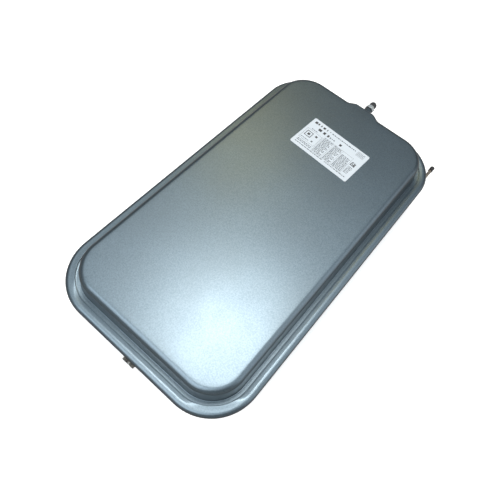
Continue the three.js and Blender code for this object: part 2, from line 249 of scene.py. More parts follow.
def arc_steps(corners):
    """How many steps the arc at each inner corner takes."""
    at = [Vector(c[:2]) for c in corners]
    turns = [turn_at(*three) for three in zip(at, at[1:], at[2:])]
    return [max(2, round(abs(math.degrees(turn)) / ARC_DEGREES)) for turn in turns]


def rounded(corners, steps=None):
    """Points along the corners, with an arc at each inner corner."""
    at = [Vector(c[:2]) for c in corners]
    points = [at[0]]
    steps = steps or arc_steps(corners)
    for before, here, after, corner, count in zip(at, at[1:], at[2:], corners[1:], steps):
        radius = corner[2]
        if radius == 0:
            points.append(here)
            continue
        turn = turn_at(before, here, after)
        into = (here - before).normalized()
        start = here - into * radius * math.tan(abs(turn) / 2)
        centre = start + Vector((-into.y, into.x)) * math.copysign(radius, turn)
        for k in range(count + 1):
            points.append(centre + Matrix.Rotation(turn * k / count, 2) @ (start - centre))
    points.append(at[-1])
    return points


# ---- Sweeping round the rim ----

def smooth_step(t):
    """A share from 0 to 1, eased at both ends."""
    return t * t * (3 - 2 * t)


def rim_stations(with_pad):
    """Stations round the rim: the corner's centre, the way out, and the shares of the other profiles.

    The other profiles are the valve's pad, the flatter left side and the flatter corner.
    """
    x, y = HALF_WIDTH - RIM_RADIUS, HALF_LENGTH - RIM_RADIUS
    centres = [(x, y), (-x, y), (-x, -y), (x, -y)]
    stations = []
    for quarter, (cx, cy) in enumerate(centres):
        for k in range(CORNER_STEPS + 1):
            angle = (quarter + k / CORNER_STEPS) * math.pi / 2
            out = Vector((math.cos(angle), math.sin(angle)))
            stations.append((Vector((cx, cy)), out, (0, *flat_shares(out))))
        if quarter == 0 and with_pad:
            stations += [(Vector((px, cy)), out, (share, 0, 0)) for px, share in pad_line(x)]
        else:
            following = Vector(centres[(quarter + 1) % 4])
            steps = LONG_STEPS if quarter % 2 else SHORT_STEPS
            for k in range(1, steps):
                centre = Vector((cx, cy)).lerp(following, k / steps)
                stations.append((centre, out, (0, *flat_shares(out))))
    return stations


def flat_shares(out):
    """How flat the rim lies along the left side, and round the corner that faces +X and -Y."""
    left = (FLAT_LEFT_START - out.x) / FLAT_LEFT_BLEND
    corner = (out.dot(Vector((1, -1)).normalized()) - FLAT_CORNER_START) / FLAT_CORNER_BLEND
    return [smooth_step(min(1, max(0, share))) for share in (left, corner)]


def pad_line(corner_x):
    """Places along the valve end's straight side, from +X to -X, with the pad's share at each."""
    half = []
    for k in range(1, PAD_APPROACH_STEPS):
        half.append((corner_x + (PAD_HALF + PAD_FLANK - corner_x) * k / PAD_APPROACH_STEPS, 0))
    for k in range(FLANK_STEPS + 1):
        half.append((PAD_HALF + PAD_FLANK * (1 - k / FLANK_STEPS), smooth_step(k / FLANK_STEPS)))
    half.append((PAD_HALF / 2, 1))
    return half + [(0, 1)] + [(-px, share) for px, share in reversed(half)]


def swept_rings(profile, stations, others=()):
    """For each profile point, the ring of points that it makes round the rim."""
    rings = []
    for row, point in enumerate(profile):
        ring = []
        for centre, out, shares in stations:
            place = point
            for other, share in zip(others, shares):
                place = place.lerp(other[row], share)
            flat = centre + out * (RIM_RADIUS - place.x)
            ring.append(Vector((flat.x, flat.y, SEAM_Z + place.y)))
        rings.append(ring)
    return rings


def face_rings(edge, stations, sag=0.0):
    """Rings that carry a shell's edge ring in over its flat face, down to a line along its middle."""
    spine = HALF_LENGTH - HALF_WIDTH
    corner_y = HALF_LENGTH - RIM_RADIUS
    rings = []
    for row in range(1, FACE_ROWS + 1):
        t = (row / FACE_ROWS) ** FACE_CROWDING
        ring = []
        for point, (centre, _, _) in zip(edge, stations):
            inner = Vector((0, centre.y * spine / corner_y, point.z))
            place = point.lerp(inner, t)
            place.z -= sag * smooth_step(min(1, t / FACE_SAG_REACH)) * ripple(place)
            ring.append(place)
        rings.append(ring)
    return rings


def ripple(place):
    """How far a pressed flat face falls short of flat, from 0 to 1, in slow waves."""
    return 0.5 + 0.5 * noise.noise(Vector((place.x, place.y, 0)) / FACE_WAVE)


def pressed_shell(name, node, corners, distance, others, sag=0.0):
    """A sheet shell as one closed surface: outer skin, inner skin and a rounded cut edge."""
    stations = rim_stations(True)
    other_profiles = [skin_profiles(other, distance, corners) for other in others]
    skins = []
    for side, points in enumerate(skin_profiles(corners, distance)):
        skin = swept_rings(points, stations, [other[side] for other in other_profiles])
        skins.append(skin + face_rings(skin[-1], stations, sag))
    make_piece(name, *closed_skins(*skins), PAINT, "vessel", [node], weighted=True)


def closed_skins(outer, inner):
    """The points and faces of two skins of rings that join at their first rings."""
    rings = [*outer, *reversed(inner)]
    columns = len(outer[0])
    faces = grid_faces(len(rings), columns, True)
    faces = faces[: (len(outer) - 1) * columns] + faces[len(outer) * columns:]
    return [p for ring in rings for p in ring], faces


def skin_profiles(corners, distance, like=None):
    """The outer and the inner skin's points, both from the middle of the cut edge inwards.

    Both are divided as they are for the corners in like, so that points of two profiles pair up.
    """
    skins = (corners, moved_sideways(corners, distance))
    start = Vector(skins[0][0][:2]).lerp(Vector(skins[1][0][:2]), 0.5)
    steps = arc_steps([(start.x, start.y, 0), *(like or corners)])
    return [rounded([(start.x, start.y, 0), (*skin[0][:2], CUT_EDGE), *skin[1:]], steps) for skin in skins]


# ---- Round parts along Y, and swept rods ----

# The longest part of an edge that a rounded corner may take
MOST_REACH = 0.45

# A thread's flanks, its flat crest, and how far it drops where it runs out
THREAD_ROWS_PER_TURN = 12
THREAD_FLANK = 2.3
THREAD_CREST = 0.08
THREAD_RUNOUT = 0.6


def round_part(name, node, rows, centre, sides, look, body="vessel", sharp=SHARP):
    """A part turned about Y, in place of a CAD node.

    Rows are (radius, station), and a radius may be a function of the angle.
    """
    points = []
    for radius, station in rows:
        for k in range(sides):
            angle = 2 * math.pi * k / sides
            r = radius(angle) if callable(radius) else radius
            points.append((centre[0] + r * math.sin(angle), station, centre[1] + r * math.cos(angle)))
    closed = not (rows[0][0] == 0 and rows[-1][0] == 0)
    part = make_piece(name, points, grid_faces(len(rows), sides, closed), look, body, [node])
    crease(part, sharp)
    return part


def softened(outline, radius):
    """A turned outline of (radius, station) pairs with each inner corner rounded a little."""
    steps = 4
    at = [Vector(p) for p in outline]
    points = [tuple(at[0])]
    for before, here, after in zip(at, at[1:], at[2:]):
        reach = min(radius, (here - before).length * MOST_REACH, (after - here).length * MOST_REACH)
        start = here + (before - here).normalized() * reach
        end = here + (after - here).normalized() * reach
        for k in range(steps + 1):
            t = k / steps
            points.append(tuple(start.lerp(here, t).lerp(here.lerp(end, t), t)))
    points.append(tuple(at[-1]))
    return points


def shoulder(radius, station, rounding):
    """Rows of a quarter round that leads from a part's end to its side."""
    turns = [k / TURN_STEPS * math.pi / 2 for k in range(TURN_STEPS + 1)]
    return [(radius - rounding * (1 - math.sin(t)), station - rounding * (1 - math.cos(t))) for t in turns]


def thread_rows(radius, depth, pitch, start, end, taper):
    """Rows of a thread along Y, each a function of the angle, run out at both ends."""
    count = round((end - start) / pitch * THREAD_ROWS_PER_TURN)
    rows = []
    for k in range(count + 1):
        station = start + (end - start) * k / count
        fade = min(1, (station - start) / taper, (end - station) / taper)

        def at_angle(angle, station=station, fade=max(0, fade)):
            phase = (station / pitch + angle / (2 * math.pi)) % 1
            dip = depth * min(1, max(0, THREAD_FLANK * abs(phase - 0.5) - THREAD_CREST))
            return radius - depth * (1 - fade) * THREAD_RUNOUT - dip * fade

        rows.append((at_angle, station))
    return rows


def tube_points(rings, sides):
    """Points round each ring of (centre, across, up, radius)."""
    points = []
    for centre, across, up, radius in rings:
        for k in range(sides):
            angle = 2 * math.pi * k / sides
            points.append(centre + (across * math.cos(angle) + up * math.sin(angle)) * radius)
    return points


def rod_mesh(name, route, radius, sides, look, replaces=(), lumps=None):
    """A round bar along a route of points; lumps may scale each ring's radius."""
    rings = []
    for i, here in enumerate(route):
        before, after = route[max(i - 1, 0)], route[min(i + 1, len(route) - 1)]
        along = (after - before).normalized()
        across = along.cross(Vector((0, 0, 1))).normalized()
        rings.append((here, across, across.cross(along), radius * (lumps(i) if lumps else 1)))
    faces = capped(grid_faces(len(rings), sides, False), len(rings) * sides, sides)
    return make_piece(name, tube_points(rings, sides), faces, look, "vessel", replaces)


def catmull_rom(points, per_span):
    """A smooth line through the points."""
    padded = [points[0] * 2 - points[1], *points, points[-1] * 2 - points[-2]]
    line = []
    for a, b, c, d in zip(padded, padded[1:], padded[2:], padded[3:]):
        for k in range(per_span):
            t = k / per_span
            spread = (c - a) * t + (a * 2 - b * 5 + c * 4 - d) * t**2 + (b * 3 - a - c * 3 + d) * t**3
            line.append(b + spread * 0.5)
    line.append(points[-1])
    return line


# ---- Materials ----

# Nearly all of a noise lies between these
NOISE_LOW, NOISE_HIGH = 0.3, 0.7


class Paint:
    """A principled material with small helpers for its procedural detail."""

    def __init__(self, name, colour, metallic, roughness, **sockets):
        self.material = bpy.data.materials.new(name)
        self.material.use_nodes = True
        self.material.diffuse_color = (*colour, 1)
        self.nodes = self.material.node_tree.nodes
        self.links = self.material.node_tree.links
        self.shader = self.nodes["Principled BSDF"]
        self.shader.inputs["Base Color"].default_value = (*colour, 1)
        self.shader.inputs["Metallic"].default_value = metallic
        self.shader.inputs["Roughness"].default_value = roughness
        for socket, value in sockets.items():
            self.shader.inputs[socket.replace("_", " ")].default_value = value
        self.place = self.nodes.new("ShaderNodeTexCoord").outputs["Object"]

    def noise(self, size_mm, detail=2.0, stretch=(1, 1, 1)):
        """A noise whose features are about size_mm long."""
        place = self.place
        if stretch != (1, 1, 1):
            mapping = self.nodes.new("ShaderNodeMapping")
            mapping.inputs["Scale"].default_value = stretch
            self.links.new(self.place, mapping.inputs["Vector"])
            place = mapping.outputs["Vector"]
        node = self.nodes.new("ShaderNodeTexNoise")
        node.inputs["Scale"].default_value = 1 / (size_mm * MM)
        node.inputs["Detail"].default_value = detail
        self.links.new(place, node.inputs["Vector"])
        return node.outputs["Fac"]

    def between(self, value, low, high, from_low=NOISE_LOW, from_high=NOISE_HIGH):
        """A value from one range, a noise's unless it is given, carried to another."""
        node = self.nodes.new("ShaderNodeMapRange")
        node.inputs["From Min"].default_value = from_low
        node.inputs["From Max"].default_value = from_high
        node.inputs["To Min"].default_value = low
        node.inputs["To Max"].default_value = high
        self.links.new(value, node.inputs["Value"])
        return node.outputs["Result"]

    def tint(self, factor, colour):
        """Mixes another colour into the base colour by a factor."""
        socket = self.shader.inputs["Base Color"]
        node = self.nodes.new("ShaderNodeMix")
        node.data_type = "RGBA"
        if socket.is_linked:
            self.links.new(socket.links[0].from_socket, node.inputs["A"])
        else:
            node.inputs["A"].default_value = socket.default_value
        node.inputs["B"].default_value = (*colour, 1)
        self.links.new(factor, node.inputs["Factor"])
        self.links.new(node.outputs["Result"], socket)

    def edge_on(self):
        """How far a surface turns away from the eye, from 0 to 1."""
        return self.nodes.new("ShaderNodeLayerWeight").outputs["Facing"]

    def stain(self, size_mm, detail, most, colour):
        """Tints patches of a size with another colour, up to a share."""
        self.tint(self.between(self.noise(size_mm, detail), 0, most), colour)

    def wear(self, size_mm, detail, least, most):
        """Lets the roughness wander between two values."""
        wandering = self.between(self.noise(size_mm, detail), least, most)
        self.links.new(wandering, self.shader.inputs["Roughness"])

    def relief(self, size_mm, detail, depth_mm, stretch=(1, 1, 1)):
        """Gives the surface a fine bumpy relief."""
        node = self.nodes.new("ShaderNodeBump")
        node.inputs["Distance"].default_value = depth_mm * MM
        self.links.new(self.noise(size_mm, detail, stretch), node.inputs["Height"])
        self.links.new(node.outputs["Normal"], self.shader.inputs["Normal"])


def shell_paint():
    """Silver blue-grey metallic paint over pressed steel, with painted shade where it is seen edge on."""
    paint = Paint("shell_paint", (0.12, 0.17, 0.206), 0.95, 0.36, Coat_Weight=0.5, Coat_Roughness=0.36)
    paint.stain(1.3, 3, 0.5, (0.225, 0.29, 0.338))
    paint.stain(60, 2, 0.2, (0.125, 0.155, 0.172))
    # painted shade: the colour darkens where a surface is seen edge on, so that the walls look shaded
    paint.tint(paint.between(paint.edge_on(), 0, 0.85, 0.18, 0.78), (0.035, 0.05, 0.062))
    paint.wear(25, 2, 0.35, 0.37)
    paint.relief(0.8, 2, 0.007)
    return paint.material


def zinc_plate(name, colour, stain):
    """Zinc plating on turned steel, stained in places."""
    zinc = Paint(name, colour, 1.0, 0.3)
    zinc.stain(4, 3, 0.5, stain)
    zinc.wear(1.2, 3, 0.22, 0.42)
    zinc.relief(0.35, 2, 0.004, (1, 9, 1))
    return zinc.material


def drawn_steel():
    """Bare drawn wire: grey-brown, with fine lines along it and a few dark stains."""
    steel = Paint("drawn_steel", (0.36, 0.32, 0.27), 0.95, 0.38)
    steel.stain(9, 4, 0.65, (0.19, 0.15, 0.12))
    steel.wear(2.5, 3, 0.3, 0.5)
    steel.relief(0.5, 2, 0.01, (1, 0.05, 1))
    return steel.material


def weld_metal():
    """Welds that were painted over: a colour near the paint's on a rough, scaly bead."""
    weld = Paint("weld_metal", (0.22, 0.27, 0.3), 0.8, 0.45)
    weld.stain(1.6, 4, 0.6, (0.12, 0.13, 0.14))
    weld.wear(1, 3, 0.36, 0.6)
    weld.relief(0.5, 3, 0.03)
    return weld.material


def brass():
    """Turned brass, dulled unevenly."""
    metal = Paint("brass_core", (0.66, 0.47, 0.2), 1.0, 0.28)
    metal.stain(2, 3, 0.4, (0.4, 0.27, 0.12))
    metal.wear(0.8, 3, 0.22, 0.42)
    metal.relief(0.2, 2, 0.003, (1, 8, 1))
    return metal.material


def rubber(name, size_mm):
    """Moulded rubber: near black, dusty, with a fine pebbled skin."""
    black = Paint(name, (0.022, 0.022, 0.024), 0.0, 0.72)
    black.stain(size_mm, 4, 0.5, (0.05, 0.05, 0.052))
    black.wear(size_mm / 3, 3, 0.62, 0.85)
    black.relief(size_mm / 10, 2, 0.02)
    return black.material


def cap_plastic():
    """Dark grey moulded plastic with a fine spark-eroded skin."""
    grey = Paint("cap_plastic", (0.035, 0.037, 0.04), 0.0, 0.42)
    grey.stain(3, 3, 0.5, (0.06, 0.062, 0.065))
    grey.wear(0.8, 2, 0.36, 0.52)
    grey.relief(0.18, 2, 0.012)
    return grey.material


def label_film():
    """Pale film with a soft gloss, a little bluish, and barely wavy."""
    film = Paint("label_film", (0.6, 0.66, 0.71), 0.0, 0.42, Coat_Weight=0.25, Coat_Roughness=0.2)
    film.stain(18, 2, 0.35, (0.53, 0.59, 0.64))
    film.stain(0.6, 2, 0.2, (0.68, 0.73, 0.77))
    film.wear(6, 2, 0.38, 0.5)
    film.relief(9, 2, 0.015)
    return film.material


def label_ink(name, colour):
    """Printed ink, thin enough for the film's tone to break through it."""
    ink = Paint(name, colour, 0.0, 0.5)
    pale = tuple(0.7 * c + 0.15 for c in colour)
    ink.stain(0.35, 2, 0.22, pale)
    ink.wear(2, 2, 0.42, 0.6)
    return ink.material


def floor_paper():
    """Pale paper that glows a little, so that the floor stays nearly white."""
    glow = {"Emission_Color": (1, 1, 1, 1), "Emission_Strength": 0.5}
    paper = Paint("floor_paper", (0.86, 0.86, 0.86), 0.0, 0.9, **glow)
    paper.stain(300, 2, 0.2, (0.83, 0.83, 0.835))
    return paper.material


# Looks: a material with the slot that it fills
PAINT = (shell_paint(), "shell_paint")
ZINC = (zinc_plate("zinc_plate", (0.56, 0.57, 0.56), (0.44, 0.42, 0.36)), "plated_steel")
BRIGHT_ZINC = (zinc_plate("bright_zinc", (0.8, 0.87, 0.9), (0.62, 0.68, 0.7)), "plated_steel")
STEEL = (drawn_steel(), "plated_steel")
WELD = (weld_metal(), "shell_paint")
BRASS = (brass(), "brass_core")
MEMBRANE_RUBBER = (rubber("membrane_rubber", 12), "membrane_rubber")
SEAL_RUBBER = (rubber("seal_rubber", 2), "seal_rubber")
CAP_PLASTIC = (cap_plastic(), "cap_plastic")
FILM = (label_film(), "label_film")
DARK_INK = (label_ink("dark_ink", (0.035, 0.035, 0.04)), None)
GREY_INK = (label_ink("grey_ink", (0.09, 0.11, 0.13)), None)


# ---- Shells ----

def hem_top(depth=0, slope=HEM_SLOPE):
    """Corners of the folded hem's top, or of a surface at a depth under it, from the rim inwards."""
    bend = HEM_BEND + depth * math.tan(slope / 2)
    return [
        (depth, HEM_UP - depth, HEM_ROLL - depth),
        (bend, HEM_UP - depth, HEM_BEND_RADIUS - depth),
    ]


def slope_z(inset, depth=0, slope=HEM_SLOPE):
    """The height over the seam of the hem's inner slope, or of a surface at a depth under it."""
    return HEM_UP - depth / math.cos(slope) - (inset - HEM_BEND) * math.tan(slope)


def gas_corners(wall_foot, wall_top, foot_fillet, crest_radius, flange_slope=FLANGE_SLOPE):
    """Corners of the gas shell: flange edge, flange under the hem, bare flange, wall and face."""
    bend_z = slope_z(FLANGE_BEND, FLANGE_EDGE)
    foot_z = bend_z - (wall_foot - FLANGE_BEND) * math.tan(flange_slope)
    return [
        (FLANGE_EDGE, 0, 0),
        *hem_top(FLANGE_EDGE),
        (FLANGE_BEND, bend_z, FLANGE_BEND_RADIUS),
        (wall_foot, foot_z, foot_fillet),
        (wall_top, GAS_DOME, crest_radius),
        (GAS_FACE_INSET, GAS_DOME, 0),
    ]


def build_gas_shell():
    wall = (GAS_WALL_FOOT, GAS_WALL_TOP, GAS_FOOT_FILLET, GAS_CREST)
    pad = gas_corners(PAD_INSET, PAD_INSET, PAD_FOOT_FILLET, PAD_CREST)
    flatter = gas_corners(*wall, FLANGE_SLOPE_FLAT)
    pressed_shell("gas_shell", "gas_side_shell", gas_corners(*wall), -SHEET, [pad, flatter], FACE_SAG)


def water_corners(slope):
    """Corners of the water shell: lip, hem, web under the seam, wall and back face."""
    return [
        (LIP_WIDTH, slope_z(LIP_WIDTH, slope=slope), 0),
        *reversed(hem_top(slope=slope)),
        (0, -HEM_DOWN, HEM_DOWN - HEM_STRAIGHT),
        (WALL_INSET, -HEM_DOWN, FOOT_FILLET),
        (WALL_INSET, -WATER_DOME, CREST_RADIUS),
        (FACE_INSET, -WATER_DOME, 0),
    ]


def build_water_shell():
    # the hem keeps its steep slope beside the pad
    steep, flatter = water_corners(HEM_SLOPE), water_corners(HEM_SLOPE_FLAT)
    pressed_shell("water_shell", "water_side_shell", steep, SHEET, [steep, flatter, flatter])


# ---- Membrane: one moulding, its bead and its field ----

def build_membrane():
    web_z = -HEM_DOWN + SHEET + GAP
    liner = SHEET + GAP
    field_z = -WATER_DOME + liner
    outer = [
        (BEAD_INNER, web_z, 0),
        (WALL_INSET + liner, web_z, FOOT_FILLET + liner),
        (WALL_INSET + liner, field_z, CREST_RADIUS - liner),
        (FACE_INSET, field_z, 0),
    ]
    foot = FLANGE_EDGE + SHEET + 2 * GAP
    bead = [
        (foot + BEAD_CHAMFER, web_z, 0),
        (foot, web_z + BEAD_CHAMFER, 0),
        (foot, BEAD_TOP, BEAD_TOP_FILLET),
        (HEM_ROLL + BEAD_SHOULDER, web_z + BEAD_HEIGHT, BEAD_SHOULDER_FILLET),
        (BEAD_INNER + BEAD_CHAMFER, web_z + MEMBRANE, 0),
    ]
    inner = moved_sideways(outer, MEMBRANE)
    stations = rim_stations(False)
    top = swept_rings(rounded([*bead, *inner[1:]]), stations)
    top += face_rings(top[-1], stations)
    under = swept_rings(rounded([bead[0], *outer]), stations)
    under += face_rings(under[-1], stations)
    nodes = ["membrane_bead", "membrane_wall", "membrane_field"]
    membrane = make_piece("membrane", *closed_skins(top, under), MEMBRANE_RUBBER, None, nodes)
    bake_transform(membrane)


# ---- Air valve ----

VALVE_Z = middle("valve_stem").z
VALVE_AXIS = (0, VALVE_Z)
STEM_LOW, STEM_HIGH = box_mm("valve_stem")
CAP_LOW, CAP_HIGH = box_mm("valve_cap")
BOSS_HIGH = box_mm("valve_boss")[1]
GASKET_HIGH = box_mm("valve_gasket")[1]
CORE_BORE = 2.65
CORE_BORE_START = 224
CORE_BORE_CONE = 0.6
AIR_BORE = 2
EDGE_BREAK = 0.25

STEM_RADIUS = 3.85
STEM_PITCH = 0.794
STEM_THREAD = 0.4
STEM_RELIEF = 0.3
STEM_END_RADIUS = STEM_RADIUS - 0.5
STEM_TAPER = 0.5

HEX_START = GASKET_HIGH.y + GAP
HEX_END = CAP_LOW.y - GAP
HEX_CORNER = 6.35
HEX_FLAT = HEX_CORNER * math.cos(math.pi / 6)
HEX_CHAMFER = HEX_CORNER - HEX_FLAT
HEX_CHAMFER_STEPS = 6
HEX_CHAMFER_RISE = 0.75


def hexagon(limit):
    """The hexagon's reach, as a function of the angle from +Z, cut off by the chamfer's limit."""
    def at_angle(angle):
        from_flat = (angle + math.pi / 6) % (math.pi / 3) - math.pi / 6
        return min(HEX_FLAT / math.cos(from_flat), limit)

    return at_angle


def hex_rows():
    """Rows of the hexagon with the round chamfer of a turned nut at both ends."""
    rows = []
    for side, end in ((1, HEX_START), (-1, HEX_END)):
        chamfer = []
        for k in range(HEX_CHAMFER_STEPS + 1):
            t = k / HEX_CHAMFER_STEPS
            limit = HEX_FLAT - EDGE_BREAK + (HEX_CHAMFER + EDGE_BREAK) * t
            chamfer.append((hexagon(limit), end + side * HEX_CHAMFER * HEX_CHAMFER_RISE * t))
        rows += chamfer if side == 1 else reversed(chamfer)
    return rows


def stem_thread(start, end):
    return thread_rows(STEM_RADIUS, STEM_THREAD, STEM_PITCH, start, end, STEM_TAPER)


def build_stem():
    rows = [
        (AIR_BORE, STEM_LOW.y),
        (STEM_END_RADIUS, STEM_LOW.y),
        *stem_thread(STEM_LOW.y + STEM_RELIEF, GASKET_HIGH.y - 1),
        (STEM_RADIUS - STEM_RELIEF, HEX_START),
        *hex_rows(),
        (STEM_RADIUS - STEM_RELIEF, HEX_END),
        *stem_thread(HEX_END + 0.2, STEM_HIGH.y - STEM_RELIEF),
        (STEM_END_RADIUS, STEM_HIGH.y),
        (CORE_BORE + EDGE_BREAK, STEM_HIGH.y),
        (CORE_BORE, STEM_HIGH.y - EDGE_BREAK),
        (CORE_BORE, CORE_BORE_START),
        (AIR_BORE, CORE_BORE_START - CORE_BORE_CONE),
    ]
    round_part(
        "valve_stem_threaded", "valve_stem", rows, VALVE_AXIS, LARGE_SIDES, BRIGHT_ZINC, sharp=SHARP_THREAD,
    )


CAP_RADIUS = CAP_HIGH.x
CAP_BORE = 4.15
CAP_BORE_CHAMFER = 0.2
CAP_THREAD = 0.3
CAP_THREAD_CREST = CAP_BORE + 0.02
CAP_ROOF = 1.2
CAP_DISH = (2.6, 0.2)
CAP_DISH_MIDDLE = 0.25
CAP_SHOULDER = 1.1
CAP_GRIP_INSET = 0.5
CAP_GRIP_STEPS = 4
CAP_GRIP_RISE = 0.7
CAP_GRIP_END = CAP_HIGH.y - 1.35
CAP_SKIRT = CAP_LOW.y + 1.5
CAP_SKIRT_RISE = 0.5
CAP_MOUTH = ((0, 0.3), (0.1, 0.08), (0.3, 0))
CAP_RIBS = 20
CAP_RIB_DEPTH = 0.42
RIB_SQUARENESS = 0.6
CAP_SIDES = 8 * CAP_RIBS


def ribbed(radius, depth):
    """A radius with evenly spaced moulded grip ribs, as a function of the angle."""
    def at_angle(angle):
        wave = math.cos(CAP_RIBS * angle)
        return radius - depth * (0.5 - 0.5 * math.copysign(abs(wave) ** RIB_SQUARENESS, wave))

    return at_angle


def build_cap():
    start, end = CAP_LOW.y, CAP_HIGH.y
    dish_inset, dish_depth = CAP_DISH
    rows = [(0, end - CAP_DISH_MIDDLE), (CAP_RADIUS - dish_inset, end - dish_depth)]
    rows += shoulder(CAP_RADIUS - CAP_GRIP_INSET, end, CAP_SHOULDER)
    for k in range(CAP_GRIP_STEPS + 1):
        t = smooth_step(k / CAP_GRIP_STEPS)
        radius = ribbed(CAP_RADIUS - CAP_GRIP_INSET * (1 - t), CAP_RIB_DEPTH * t)
        rows.append((radius, CAP_GRIP_END - CAP_GRIP_RISE * k / CAP_GRIP_STEPS))
    for k in range(CAP_GRIP_STEPS + 1):
        t = smooth_step(1 - k / CAP_GRIP_STEPS)
        rise = CAP_SKIRT_RISE - CAP_SKIRT_RISE * k / CAP_GRIP_STEPS
        rows.append((ribbed(CAP_RADIUS, CAP_RIB_DEPTH * t), CAP_SKIRT + rise))
    rows += [(CAP_RADIUS - inset, start + rise) for inset, rise in CAP_MOUTH]
    thread_span = (start + 0.4, end - CAP_ROOF - 1.4)
    thread = thread_rows(CAP_THREAD_CREST, CAP_THREAD, STEM_PITCH, *thread_span, STEM_TAPER)
    rows += [
        (CAP_BORE + CAP_BORE_CHAMFER, start),
        (CAP_BORE, start + CAP_BORE_CHAMFER),
        *reversed(thread),
        (CAP_BORE, end - CAP_ROOF - CAP_BORE_CHAMFER),
        (CAP_BORE - CAP_BORE_CHAMFER, end - CAP_ROOF),
        (0, end - CAP_ROOF),
    ]
    round_part("dust_cap", "valve_cap", rows, VALVE_AXIS, CAP_SIDES, CAP_PLASTIC, "cap")


def small_part(name, node, outline, rounding, look, body="vessel", sides=SMALL_SIDES):
    """A turned part of the valve with its edges rounded."""
    round_part(name, node, softened(outline, rounding), VALVE_AXIS, sides, look, body)


def ring_outline(node, inner):
    """The outline of a plain turned ring that fills a CAD node's box."""
    low, high = box_mm(node)
    outer = high.x
    half_way = (low.y + high.y) / 2
    return [
        (inner, half_way), (inner, low.y), (outer, low.y), (outer, high.y), (inner, high.y),
        (inner, half_way),
    ]


# The rings and discs round the stem and in the core, with their holes' radii and their rounding
VALVE_RINGS = (
    ("valve_boss", "boss", STEM_RADIUS + GAP, 0.4, PAINT, "vessel"),
    ("valve_gasket", "gasket", STEM_RADIUS + GAP, 0.4, SEAL_RUBBER, "vessel"),
    ("core_gasket", "core_packing", 2.05, 0.15, SEAL_RUBBER, "vessel"),
    ("core_washer", "core_seat_washer", 0.8, 0.1, SEAL_RUBBER, "core"),
    ("core_plunger", "core_cup", 0.8, 0.2, BRASS, "core"),
)


def build_valve_rings():
    for node, name, hole, rounding, look, body in VALVE_RINGS:
        small_part(name, node, ring_outline(node, hole), rounding, look, body)


def build_cap_seal():
    low, high = box_mm("cap_seal")
    outline = [(0, low.y), (high.x, low.y), (high.x, high.y), (0, high.y)]
    small_part("cap_seal_disc", "cap_seal", outline, EDGE_BREAK, SEAL_RUBBER, "cap_carrier")


# The valve core: its screw, its barrel and its pin
SCREW_HOLE = 0.9
SCREW_THREAD = 0.22
SCREW_PITCH = 0.7
SCREW_CHAMFER = 0.3
SCREW_RUNOUT = 0.2
SCREW_EDGE = (0.15, 0.1)
SCREW_HEAD = 1.4
SCREW_FLAT = 1.7
BARREL_RADIUS = 1.9
BARREL_NECK = 231.7
BARREL_CAVITY = 1.35
BARREL_WALL = 1
PIN_HOLE = 0.8
PIN_RADIUS = 0.5
PIN_COLLAR = (231.5, 232.1)
PIN_SIDES = 48
CORE_ROUNDING = 0.12


def screw_flats(radius):
    """The core screw's head has two flats for the core key."""
    return lambda angle: min(radius, SCREW_FLAT / max(0.01, abs(math.sin(angle))))


def build_core_screw():
    low, high = box_mm("core_screw")
    radius, half_way = high.x, (low.y + high.y) / 2
    thread_span = (low.y + SCREW_CHAMFER, high.y - SCREW_HEAD - SCREW_RUNOUT)
    edge_inset, edge_drop = SCREW_EDGE
    rows = [
        (SCREW_HOLE, half_way),
        (SCREW_HOLE, low.y),
        (radius - SCREW_CHAMFER, low.y),
        *thread_rows(radius, SCREW_THREAD, SCREW_PITCH, *thread_span, SCREW_CHAMFER),
        (screw_flats(radius), high.y - SCREW_HEAD),
        (screw_flats(radius), high.y - edge_drop),
        (screw_flats(radius - edge_inset), high.y),
        (SCREW_HOLE, high.y),
        (SCREW_HOLE, half_way),
    ]
    round_part("core_screw_head", "core_screw", rows, VALVE_AXIS, SMALL_SIDES, BRASS, sharp=SHARP_SCREW)


def build_core_barrel():
    low, high = box_mm("core_barrel")
    outline = [
        (PIN_HOLE, low.y + BARREL_WALL / 2), (PIN_HOLE, low.y), (BARREL_RADIUS, low.y),
        (BARREL_RADIUS, BARREL_NECK), (high.x, BARREL_NECK), (high.x, high.y), (PIN_HOLE, high.y),
        (PIN_HOLE, high.y - BARREL_WALL), (BARREL_CAVITY, high.y - BARREL_WALL),
        (BARREL_CAVITY, low.y + BARREL_WALL), (PIN_HOLE, low.y + BARREL_WALL),
        (PIN_HOLE, low.y + BARREL_WALL / 2),
    ]
    small_part("core_housing", "core_barrel", outline, CORE_ROUNDING, BRASS)


def build_core_pin():
    low, high = box_mm("core_pin")
    collar_start, collar_end = PIN_COLLAR
    outline = [
        (0, low.y), (PIN_RADIUS, low.y), (PIN_RADIUS, collar_start), (high.x, collar_start),
        (high.x, collar_end), (PIN_RADIUS, collar_end), (PIN_RADIUS, high.y), (0, high.y),
    ]
    small_part("core_needle", "core_pin", outline, CORE_ROUNDING, BRASS, "core", PIN_SIDES)


SPRING_WIRE = 0.16
SPRING_TURNS = 4
SPRING_STEPS_PER_TURN = 40
SPRING_WIRE_SIDES = 12


def build_core_spring():
    low, high = box_mm("core_spring")
    coil = (high.x - low.x) / 2 - SPRING_WIRE
    length = high.y - low.y - 2 * SPRING_WIRE
    steps = SPRING_TURNS * SPRING_STEPS_PER_TURN
    rings = []
    for i in range(steps + 1):
        t = i / steps
        turn = 2 * math.pi * SPRING_TURNS * t
        outward = Vector((math.cos(turn), 0, math.sin(turn)))
        here = Vector((0, low.y + SPRING_WIRE + length * t, VALVE_Z)) + outward * coil
        rings.append((here, outward, ALONG_Y, SPRING_WIRE))
    points = tube_points(rings, SPRING_WIRE_SIDES)
    faces = capped(grid_faces(len(rings), SPRING_WIRE_SIDES, False), len(points), SPRING_WIRE_SIDES)
    spring = make_piece("core_return_spring", points, faces, ZINC, None, ["core_spring"])
    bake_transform(spring)


# ---- Water connection ----

